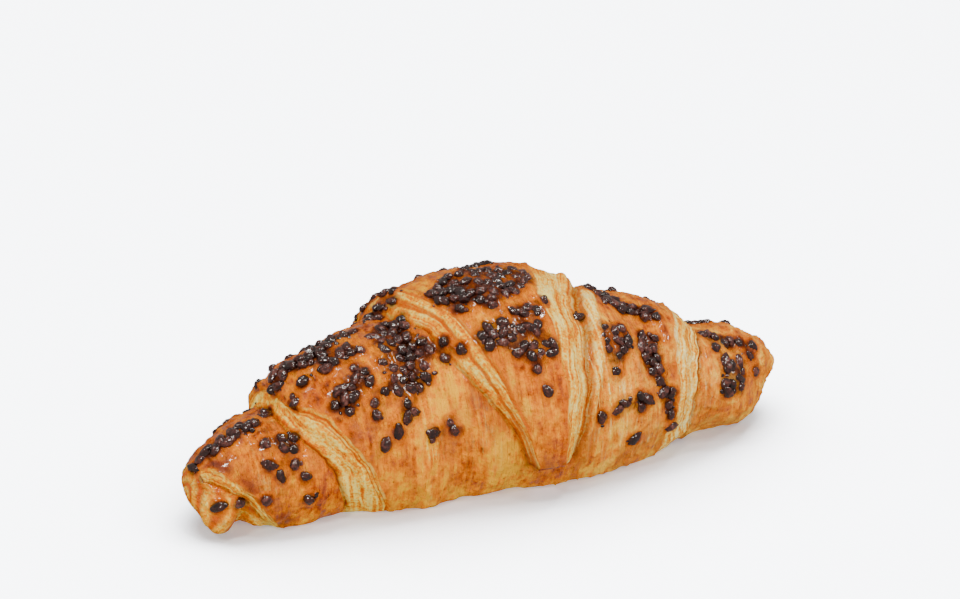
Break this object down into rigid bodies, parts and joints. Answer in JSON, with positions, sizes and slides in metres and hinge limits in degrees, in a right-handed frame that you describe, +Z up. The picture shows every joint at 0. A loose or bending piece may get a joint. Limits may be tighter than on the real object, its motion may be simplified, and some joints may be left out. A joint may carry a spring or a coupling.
{
  "type": "chocolate croissant",
  "caption": "Straight rolled butter croissant with stepped, layered lobes, a flat base and dark chocolate grains baked onto its glossy crust.",
  "frame": {"origin": "on the surface it rests on, in the middle of the flat base, under the crown of the middle lobe", "axes": "+X along the roll to the slimmer tip, +Z up, -Y to the side where the rolled sheet's tongue ends"},
  "size_m": [0.168, 0.0668, 0.0525],
  "materials": {
    "crust": "baked, egg-glazed and glossy on the lobes, matt and pale where the layers show",
    "chocolate": "smooth dark chocolate with a soft sheen"
  },
  "bodies": {
    "root": {"croissant": "crust"}
  },
  "joints": []
}
